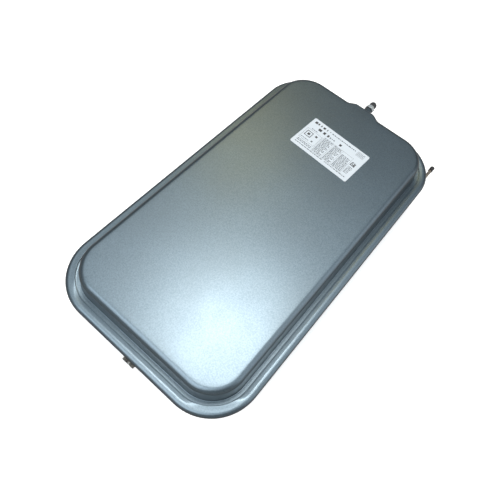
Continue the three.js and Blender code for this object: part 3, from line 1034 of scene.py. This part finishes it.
NIPPLE_LOW, NIPPLE_HIGH = box_mm("water_nipple")
NIPPLE_Z = middle("water_nipple").z
NIPPLE_THREAD = 8.33
NIPPLE_DEPTH = 0.85
NIPPLE_PITCH = 1.337
NIPPLE_TAPER = 0.9
NIPPLE_RUNOUT = 0.8
NIPPLE_BORE = 5.5
NIPPLE_BORE_CHAMFER = 0.3
COLLAR_RADIUS = NIPPLE_HIGH.x
COLLAR_LENGTH = 3
COLLAR_CHAMFERS = (0.3, 0.4)
KEY_SLOT = 3


def build_nipple():
    collar_back = -WALL_Y - GAP
    collar_front = collar_back - COLLAR_LENGTH
    back_chamfer, front_chamfer = COLLAR_CHAMFERS
    end = NIPPLE_LOW.y
    root = NIPPLE_THREAD - NIPPLE_DEPTH
    thread_span = (end + 0.15, collar_front - NIPPLE_RUNOUT)
    rows = [
        (NIPPLE_BORE, end + NIPPLE_BORE_CHAMFER),
        (NIPPLE_BORE + NIPPLE_BORE_CHAMFER, end),
        (root - 0.1, end),
        *thread_rows(NIPPLE_THREAD, NIPPLE_DEPTH, NIPPLE_PITCH, *thread_span, NIPPLE_TAPER),
        (root, collar_front),
        (COLLAR_RADIUS - front_chamfer, collar_front),
        (COLLAR_RADIUS, collar_front + front_chamfer),
        (COLLAR_RADIUS, collar_back - back_chamfer),
        (COLLAR_RADIUS - back_chamfer, collar_back),
        (NIPPLE_THREAD, collar_back),
        (NIPPLE_THREAD, NIPPLE_HIGH.y),
        (NIPPLE_BORE, NIPPLE_HIGH.y),
    ]
    nipple = round_part(
        "water_nipple_threaded", "water_nipple", rows, (0, NIPPLE_Z), LARGE_SIDES, ZINC, sharp=SHARP_THREAD,
    )
    cut_key_slot(nipple, end)
    # once more, for the slot's own edges
    crease(nipple, SHARP_THREAD)


def cut_key_slot(nipple, end):
    """Cuts the slot for the assembly key across the nipple's end."""
    bpy.ops.mesh.primitive_cube_add(size=1, location=(0, end * MM, NIPPLE_Z * MM))
    cutter = bpy.context.object
    cutter.scale = (KEY_SLOT * MM, 2 * KEY_SLOT * MM, 4 * NIPPLE_THREAD * MM)
    cut = nipple.modifiers.new("slot", "BOOLEAN")
    cut.operation = "DIFFERENCE"
    cut.solver = "EXACT"
    cut.object = cutter
    bpy.context.view_layer.update()
    graph = bpy.context.evaluated_depsgraph_get()
    shape = bpy.data.meshes.new_from_object(nipple.evaluated_get(graph))
    nipple.modifiers.clear()
    nipple.data = shape
    bpy.data.objects.remove(cutter)


# ---- Welds ----

WELD_SIDES = 14
RING_STEPS = 180
RING_DROPS = 26
RING_RELIEF = 0.14
RING_UNEVEN = 0.7
BOSS_WELD = 1.3
NIPPLE_WELD = 1.5

LINE_STEPS = 60
LINE_DROPS = 9
LINE_RELIEF = 0.15
LINE_BLUNTNESS = 0.3


def weld_ring(name, radius, station, height, bead):
    """A weld bead round a fitting whose axis is along Y, laid in overlapping drops."""
    rings = []
    for i in range(RING_STEPS):
        angle = 2 * math.pi * i / RING_STEPS
        place_in_drop = RING_DROPS * angle / 2 + RING_UNEVEN * math.sin(3 * angle)
        thick = bead * (1 - RING_RELIEF + RING_RELIEF * abs(math.sin(place_in_drop)))
        out = Vector((math.sin(angle), 0, math.cos(angle)))
        rings.append((Vector((0, station, height)) + out * radius, out, ALONG_Y, thick))
    faces = grid_faces(len(rings), WELD_SIDES, True)
    make_piece(name, tube_points(rings, WELD_SIDES), faces, WELD, "vessel")


def weld_line(name, start, end, bead, shift):
    """A short straight weld bead, laid in overlapping drops that a shift sets apart."""
    route = [start.lerp(end, k / LINE_STEPS) for k in range(LINE_STEPS + 1)]

    def lumps(i):
        t = i / LINE_STEPS
        end_taper = math.sin(math.pi * (t * 0.98 + 0.01)) ** LINE_BLUNTNESS
        drop = abs(math.sin(LINE_DROPS * math.pi * t + shift))
        return end_taper * (1 - LINE_RELIEF + LINE_RELIEF * drop)

    rod_mesh(name, route, bead, WELD_SIDES, WELD, lumps=lumps)


# ---- Hanger rods ----

ROD_RADIUS = 2.2
ROD_SIDES = 32
ROD_WELD_X = HALF_WIDTH - WALL_INSET + GAP + ROD_RADIUS
ROD_BEND_X = 114
ROD_WELDED, ROD_BEND, ROD_STRAIGHT = (0, 30, 58), 90, (122, 150)
ROD_SPAN_STEPS = 12
ROD_WELD = 1.25
ROD_WELD_STARTS = (8, 46)
ROD_WELD_LENGTH = 10
ROD_WELD_OUT, ROD_WELD_UP = 0.9, 1.9


def build_hangers():
    for hand, side in (("left", -1), ("right", 1)):
        low, high = box_mm(f"hanger_rod_{hand}")
        tip_x, z = middle(f"hanger_sleeve_{hand}").x, middle(f"hanger_rod_{hand}").z
        line = [(side * ROD_WELD_X, low.y + along) for along in ROD_WELDED]
        line.append((side * ROD_BEND_X, low.y + ROD_BEND))
        line += [(tip_x, low.y + along) for along in ROD_STRAIGHT]
        line.append((tip_x, high.y))
        route = catmull_rom([Vector((x, y, z)) for x, y in line], ROD_SPAN_STEPS)
        crease(rod_mesh(f"rod_{hand}", route, ROD_RADIUS, ROD_SIDES, STEEL, [f"hanger_rod_{hand}"]))
        build_sleeve(hand, tip_x, z)
        build_rod_welds(hand, side, low.y, z)


def build_rod_welds(hand, side, rear, z):
    """Two welds along the rod, each over it and under it."""
    x = side * (HALF_WIDTH - WALL_INSET) + side * ROD_WELD_OUT
    for number, along in enumerate(ROD_WELD_STARTS):
        for level, where in ((-1, "under"), (1, "over")):
            start = Vector((x, rear + along, z + level * ROD_WELD_UP))
            end = start + ALONG_Y * ROD_WELD_LENGTH
            weld_line(f"weld_rod_{hand}_{number + 1}_{where}", start, end, ROD_WELD, number + level)


SLEEVE_ROOF = 1
SLEEVE_ROUND = 1
SLEEVE_SIDES = 64
SLEEVE_LIP = 0.2
SLEEVE_GROOVE = (0.65, 0.9, 1.15, 1.4)


def build_sleeve(hand, x, z):
    """The rubber sleeve on a rod's tip, with a round end and a groove behind its lip."""
    low, high = box_mm(f"hanger_sleeve_{hand}")
    radius, bore = (high.x - low.x) / 2, ROD_RADIUS + GAP
    edge, floor_start, floor_end, far_edge = SLEEVE_GROOVE
    rows = [
        (0, high.y),
        *shoulder(radius, high.y, SLEEVE_ROUND),
        (radius, low.y + far_edge),
        (radius - SLEEVE_LIP, low.y + floor_end),
        (radius - SLEEVE_LIP, low.y + floor_start),
        (radius, low.y + edge),
        (radius, low.y + SLEEVE_LIP),
        (radius - SLEEVE_LIP, low.y),
        (bore, low.y),
        (bore, high.y - SLEEVE_ROOF),
        (0, high.y - SLEEVE_ROOF),
    ]
    round_part(f"sleeve_{hand}", f"hanger_sleeve_{hand}", rows, (x, z), SLEEVE_SIDES, SEAL_RUBBER)


# ---- Label ----

LABEL_WIDTH = 89
LABEL_HEIGHT = 54
LABEL_TURN = math.radians(-2.6)
LABEL_CORNER = 2
LABEL_EDGE = 0.12
LABEL_BEVEL = 0.3 * LABEL_EDGE
LABEL_BORDER = 1
INK_HEIGHT = 0.03

# Greeked words, with their space as a part of their height
SHORTEST_WORD = 0.9
LONGEST_WORD = 4.2
LEAST_ROOM = 0.8
WORD_SPACE = 0.8


def label_frame():
    """The matrix that carries the label's own millimetres, from its centre, to its place."""
    centre = middle("data_label")
    top = box_mm("data_label")[1].z - INK_HEIGHT
    return Matrix.Translation((centre.x, centre.y, top)) @ Matrix.Rotation(LABEL_TURN, 4, "Z")


def build_label():
    place = label_frame()
    thick = place.translation.z - GAS_HIGH.z
    edge, bevel = LABEL_EDGE, LABEL_BEVEL
    rings = []
    for inset, z in ((0, -thick), (0, -edge), (bevel, -bevel), (edge, 0), (LABEL_BORDER, 0)):
        rings.append(rounded_rectangle(LABEL_WIDTH / 2 - inset, LABEL_HEIGHT / 2 - inset, LABEL_CORNER, z))
    points = [place @ p for ring in rings for p in ring]
    count = len(rings[0])
    faces = capped(grid_faces(len(rings), count, False), len(points), count)
    label = make_piece("label_film_plate", points, faces, FILM, "vessel", ["data_label"])
    crease(label, SHARP_LABEL)


def rounded_rectangle(half_x, half_y, radius, z):
    points = []
    for quarter, (sx, sy) in enumerate(((1, 1), (-1, 1), (-1, -1), (1, -1))):
        for k in range(TURN_STEPS + 1):
            angle = (quarter + k / TURN_STEPS) * math.pi / 2
            x = sx * (half_x - radius) + radius * math.cos(angle)
            y = sy * (half_y - radius) + radius * math.sin(angle)
            points.append(Vector((x, y, z)))
    return points


class Print:
    """Printed marks on the label: only bars, boxes and squares, which say nothing."""

    def __init__(self, name, ink):
        self.name, self.ink = name, ink
        self.points, self.faces = [], []

    def bar(self, left, top, width, height):
        """A bar from its upper left corner, in millimetres from the label's upper left corner."""
        x, y = left - LABEL_WIDTH / 2, LABEL_HEIGHT / 2 - top
        a = len(self.points)
        for z in (0, INK_HEIGHT):
            for dx, dy in ((0, 0), (width, 0), (width, -height), (0, -height)):
                self.points.append(Vector((x + dx, y + dy, z)))
        self.faces += [(a, a + 1, a + 2, a + 3), (a + 4, a + 5, a + 6, a + 7)]
        self.faces += [(a + k, a + (k + 1) % 4, a + 4 + (k + 1) % 4, a + 4 + k) for k in range(4)]

    def box(self, left, top, width, height, line):
        """A ruled box."""
        self.bar(left, top, width, line)
        self.bar(left, top + height - line, width, line)
        self.bar(left, top + line, line, height - 2 * line)
        self.bar(left + width - line, top + line, line, height - 2 * line)

    def words(self, left, top, width, height, draw, longest=LONGEST_WORD):
        """A line of greeked words that fills a width."""
        x = left
        while x < left + width - LEAST_ROOM:
            word = min(draw.uniform(SHORTEST_WORD, longest), left + width - x)
            self.bar(x, top, word, height)
            x += word + height * WORD_SPACE

    def finish(self):
        place = label_frame()
        points = [place @ p for p in self.points]
        mesh = make_piece(self.name, points, self.faces, self.ink, "vessel")
        mesh.data.polygons.foreach_set("use_smooth", [False] * len(mesh.data.polygons))


# The print's layout, in millimetres from the label's upper left corner
MARGIN = 4.5
FINE_PRINT = 1.05
FINE_PITCH = 2.02
FINE_ROWS = 14
FINE_COLUMNS = (30, 46, 60.5)
FINE_BOX = (29, 17.4, 46.5, 29.6)
COLUMN_RULES = (44.3, 59)
RULE = 0.25
SMALL_TABLE = (73, 3, 11, 7.5)
LEFT_TABLE = (3.5, 20.5, 24, 20)
SYMBOL_BOX = (6, 23.5, 9.5, 9.5)
PATCH = (77, 22)
PATCH_SQUARES = 7
PATCH_SQUARE = 0.95
PATCH_SHARE = 0.68


def build_print():
    draw = random.Random(7)
    dark = Print("label_print_dark", DARK_INK)
    grey = Print("label_print_grey", GREY_INK)
    print_heading(dark, grey, draw)

    grey.box(*SMALL_TABLE, RULE)
    for row in range(3):
        grey.words(74, 4.2 + 2 * row, 9, 0.9, draw, 2.4)

    # left column: a ruled box with a framed square in it
    grey.words(8, 17.6, 9, 1.1, draw)
    grey.box(*LEFT_TABLE, 0.3)
    dark.box(*SYMBOL_BOX, 0.9)
    dark.bar(8.9, 26.4, 3.7, 3.7)
    dark.bar(19.5, 24, 3, 3)
    grey.bar(20, 34.5, 2.3, 2.3)
    grey.words(5, 37, 12, 1, draw)

    print_columns(grey, draw)
    print_patch(dark, draw)
    for row in range(6):
        grey.words(PATCH[0], 31 + 2.2 * row, 7, 1, draw)

    # closing rows
    for left, top, width in ((MARGIN, 42.6, 22), (MARGIN, 44.8, 22), (MARGIN, 48.2, 44), (52, 48.2, 32)):
        grey.words(left, top, width, 1.1, draw)
    dark.finish()
    grey.finish()


def print_heading(dark, grey, draw):
    """A solid square, then two lines that start with heavy greeked words."""
    dark.bar(MARGIN, 4, 3.8, 3.8)
    dark.words(9.3, 4.2, 17.5, 3.2, draw, 4.5)
    dark.bar(28.5, 4.6, 1.2, 1.2)
    grey.words(32, 4.7, 38, 1.4, draw)
    dark.words(15, 10.6, 17, 4, draw, 5)
    grey.words(33.5, 12, 9, 1.9, draw, 2)
    dark.bar(49, 11, 3.4, 3.4)


def print_columns(grey, draw):
    """Three columns of small print in a ruled box."""
    grey.box(*FINE_BOX, RULE)
    first, second, third = FINE_COLUMNS
    for row in range(FINE_ROWS):
        top = 18.4 + FINE_PITCH * row
        grey.words(first, top, 13 - 3 * (row % 3 == 2), FINE_PRINT, draw)
        grey.words(second, top, 12 - 4 * (row % 4 == 3), FINE_PRINT, draw)
        if row > 1:
            grey.words(third, top, 14, FINE_PRINT, draw)
    for left in COLUMN_RULES:
        grey.bar(left, 18, 0.2, 28)


def print_patch(dark, draw):
    """A patch of small squares, filled at random."""
    left, top = PATCH
    for row in range(PATCH_SQUARES):
        for column in range(PATCH_SQUARES):
            if draw.random() < PATCH_SHARE:
                dark.bar(left + PATCH_SQUARE * column, top + PATCH_SQUARE * row, PATCH_SQUARE, PATCH_SQUARE)


# ---- Stage ----

CAMERA_AT = Vector((0.12298, -0.24195, 0.49463))
CAMERA_AIM = Vector((0.0153, -0.0470, 0.0560))
CAMERA_UP = Vector((-0.61122, 0.65659, 0.44193))
CAMERA_LENS = 30.43
CAMERA_SENSOR = 36
CAMERA_REACH = (0.01, 50)


def build_camera():
    camera = bpy.data.cameras.new("camera")
    camera.lens = CAMERA_LENS
    camera.sensor_width = CAMERA_SENSOR
    camera.clip_start, camera.clip_end = CAMERA_REACH
    holder = bpy.data.objects.new("camera", camera)
    forward = (CAMERA_AIM - CAMERA_AT).normalized()
    right = forward.cross(CAMERA_UP).normalized()
    up = right.cross(forward)
    turn = Matrix((right, up, -forward)).transposed()
    holder.matrix_world = Matrix.Translation(CAMERA_AT) @ turn.to_4x4()
    bpy.context.scene.collection.objects.link(holder)
    bpy.context.scene.camera = holder


def area_light(name, at, aim, size, power, colour):
    """A round soft light that faces a point."""
    light = bpy.data.lights.new(name, "AREA")
    light.shape = "DISK"
    light.size = size
    light.energy = power
    light.color = colour
    holder = bpy.data.objects.new(name, light)
    holder.location = at
    holder.rotation_euler = (Vector(aim) - Vector(at)).to_track_quat("-Z", "Y").to_euler()
    bpy.context.scene.collection.objects.link(holder)


# Lights: name, place, aim, size, power and colour
LIGHTS = (
    ("overhead", (-0.16, 0.18, 1.6), (0.05, -0.12, 0.09), 0.44, 9, (1, 0.95, 0.9)),
    ("front_high", (-0.15, -1.3, 1.5), (0, -0.2, 0.09), 1.9, 21, (0.96, 0.98, 1)),
    ("right_low", (1.8, 0.7, 0.9), (0, 0, 0.08), 2.2, 13, (0.97, 0.98, 1)),
    ("far_left_warm", (-1.0, 1.35, 1.9), (0, 0.1, 0.09), 0.5, 2.4, (1, 0.74, 0.25)),
)

# The room, as the height of the direction looked in and the colour there: a dark floor, a pale band
# round the horizon, dark upper walls and a bright ceiling
SKY = (
    (-1.0, (0.10, 0.08, 0.07)),
    (-0.8, (0.14, 0.12, 0.11)),
    (-0.55, (0.40, 0.39, 0.37)),
    (-0.2, (0.48, 0.47, 0.45)),
    (0.05, (0.38, 0.39, 0.40)),
    (0.3, (0.14, 0.15, 0.155)),
    (0.62, (0.12, 0.125, 0.13)),
    (0.75, (0.55, 0.58, 0.6)),
    (0.83, (0.92, 0.97, 1.0)),
    (1.0, (1.06, 1.12, 1.15)),
)


def build_world():
    world = bpy.data.worlds.new("studio")
    world.use_nodes = True
    bpy.context.scene.world = world
    nodes, links = world.node_tree.nodes, world.node_tree.links
    split = nodes.new("ShaderNodeSeparateXYZ")
    links.new(nodes.new("ShaderNodeTexCoord").outputs["Generated"], split.inputs["Vector"])
    rise = nodes.new("ShaderNodeMapRange")
    rise.inputs["From Min"].default_value = -1
    links.new(split.outputs["Z"], rise.inputs["Value"])
    ramp = nodes.new("ShaderNodeValToRGB")
    links.new(rise.outputs["Result"], ramp.inputs["Fac"])
    elements = ramp.color_ramp.elements
    for number, (height, colour) in enumerate(SKY):
        if number > 1:
            elements.new((height + 1) / 2)
        elements[number].position = (height + 1) / 2
        elements[number].color = (*colour, 1)
    links.new(ramp.outputs["Color"], nodes["Background"].inputs["Color"])


FLOOR_RADIUS = 12
FLOOR_DROP = 0.0002


def build_floor():
    """A pale floor just under the part, which the paint doesn't mirror."""
    bpy.ops.mesh.primitive_circle_add(
        vertices=LARGE_SIDES, radius=FLOOR_RADIUS, fill_type="NGON", location=(0, 0, -FLOOR_DROP),
    )
    floor = bpy.context.object
    floor.name = "floor"
    floor.data.materials.append(floor_paper())
    floor.visible_glossy = False


build_gas_shell()
build_water_shell()
build_membrane()
build_stem()
build_cap()
build_valve_rings()
build_cap_seal()
build_core_screw()
build_core_barrel()
build_core_pin()
build_core_spring()
build_nipple()
weld_ring("weld_boss", BOSS_HIGH.x, PAD_Y + 0.2, VALVE_Z, BOSS_WELD)
weld_ring("weld_nipple", COLLAR_RADIUS, -WALL_Y - GAP, NIPPLE_Z, NIPPLE_WELD)
build_hangers()
build_label()
build_print()
build_camera()
for row in LIGHTS:
    area_light(*row)
build_world()
build_floor()
bpy.context.scene.view_settings.view_transform = "Standard"
